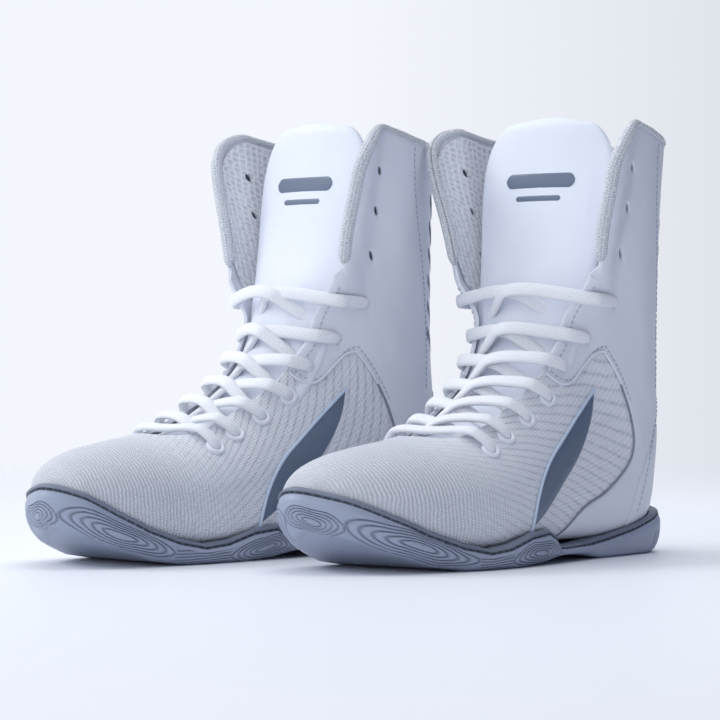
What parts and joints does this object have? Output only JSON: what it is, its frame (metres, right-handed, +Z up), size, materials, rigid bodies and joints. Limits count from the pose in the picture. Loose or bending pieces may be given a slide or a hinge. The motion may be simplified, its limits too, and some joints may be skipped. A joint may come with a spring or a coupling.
{
  "type": "boxing boots",
  "caption": "Pair of high laced boxing boots with knit forefoot, smooth shaft with splayed collar flaps, padded tongue and thin cupped rubber sole.",
  "frame": {"origin": "middle of the pair's footprint, on the floor", "axes": "+Z up, toes towards -Y, left boot on the +X side"},
  "size_m": [0.2484, 0.3486, 0.2447],
  "materials": {
    "outsole_rubber": "matte rubber",
    "foam": "moulded foam",
    "thread": "stitched thread",
    "board": "fibre board",
    "knit_mesh": "ribbed knit mesh",
    "synthetic": "smooth synthetic leather",
    "binding": "knit binding",
    "eyelet": "glossy ring",
    "lining": "honeycomb lining mesh",
    "slate_trim": "smooth slate film",
    "tongue_cover": "smooth padded synthetic",
    "lace": "woven lace",
    "aglet": "clear tip"
  },
  "bodies": {
    "right_boot": {"right_outsole": "outsole_rubber", "right_midsole": "foam", "right_sole_stitching": "thread", "right_insole_board": "board", "right_vamp": "knit_mesh", "right_heel_cover": "synthetic", "right_backstay": "synthetic", "right_collar_binding": "binding", "right_eyelets": "eyelet", "right_sock_liner": "lining", "right_toe_puff": "board", "right_heel_counter": "board", "right_lateral_quarter": "synthetic", "right_medial_quarter": "synthetic", "right_lateral_inlay": "slate_trim", "right_medial_inlay": "slate_trim", "right_back_vents": "slate_trim", "right_tongue_lower": "tongue_cover", "right_laces": "lace", "right_lace_tail_lateral": "lace", "right_lace_tail_medial": "lace", "right_aglets": "aglet"},
    "left_boot": {"left_outsole": "outsole_rubber", "left_midsole": "foam", "left_sole_stitching": "thread", "left_insole_board": "board", "left_vamp": "knit_mesh", "left_heel_cover": "synthetic", "left_backstay": "synthetic", "left_collar_binding": "binding", "left_eyelets": "eyelet", "left_sock_liner": "lining", "left_toe_puff": "board", "left_heel_counter": "board", "left_lateral_quarter": "synthetic", "left_medial_quarter": "synthetic", "left_lateral_inlay": "slate_trim", "left_medial_inlay": "slate_trim", "left_back_vents": "slate_trim", "left_tongue_lower": "tongue_cover", "left_laces": "lace", "left_lace_tail_lateral": "lace", "left_lace_tail_medial": "lace", "left_aglets": "aglet"},
    "left_lateral_collar": {"left_lateral_flap": "synthetic", "left_lateral_flap_lining": "lining", "left_lateral_piping": "binding"},
    "left_medial_collar": {"left_medial_flap": "synthetic", "left_medial_flap_lining": "lining", "left_medial_piping": "binding"},
    "left_tongue_top": {"left_tongue_upper": "tongue_cover", "left_tongue_patch": "slate_trim"},
    "right_lateral_collar": {"right_lateral_flap": "synthetic", "right_lateral_flap_lining": "lining", "right_lateral_piping": "binding"},
    "right_medial_collar": {"right_medial_flap": "synthetic", "right_medial_flap_lining": "lining", "right_medial_piping": "binding"},
    "right_tongue_top": {"right_tongue_upper": "tongue_cover", "right_tongue_patch": "slate_trim"}
  },
  "joints": [
    {"name": "left_boot_lift", "type": "slide", "parent": "right_boot", "child": "left_boot", "axis": [0, 0, 1], "range_m": [0, 0.35]},
    {"name": "left_tongue_bend", "type": "hinge", "parent": "left_boot", "child": "left_tongue_top", "pos_m": [0.06297, 0.06789, 0.153], "axis": [0.9968, 0.0802, 0], "range_deg": [-12, 13], "stiffness_Nm_per_rad": 0.2},
    {"name": "left_lateral_fold", "type": "hinge", "parent": "left_boot", "child": "left_lateral_collar", "pos_m": [0.10666, 0.09849, 0.2015], "axis": [0.0653, 0.6536, 0.754], "range_deg": [-16, 12], "stiffness_Nm_per_rad": 0.2},
    {"name": "left_medial_fold", "type": "hinge", "parent": "left_boot", "child": "left_medial_collar", "pos_m": [0.01496, 0.09111, 0.2015], "axis": [0.169, -0.6348, -0.754], "range_deg": [-16, 2], "stiffness_Nm_per_rad": 0.2},
    {"name": "right_tongue_bend", "type": "hinge", "parent": "right_boot", "child": "right_tongue_top", "pos_m": [-0.06297, 0.00789, 0.153], "axis": [0.9968, -0.0802, 0], "range_deg": [-12, 13], "stiffness_Nm_per_rad": 0.2},
    {"name": "right_lateral_fold", "type": "hinge", "parent": "right_boot", "child": "right_lateral_collar", "pos_m": [-0.10666, 0.03849, 0.2015], "axis": [0.0653, -0.6536, -0.754], "range_deg": [-16, 12], "stiffness_Nm_per_rad": 0.2},
    {"name": "right_medial_fold", "type": "hinge", "parent": "right_boot", "child": "right_medial_collar", "pos_m": [-0.01496, 0.03111, 0.2015], "axis": [0.169, 0.6348, 0.754], "range_deg": [-16, 2], "stiffness_Nm_per_rad": 0.2}
  ]
}
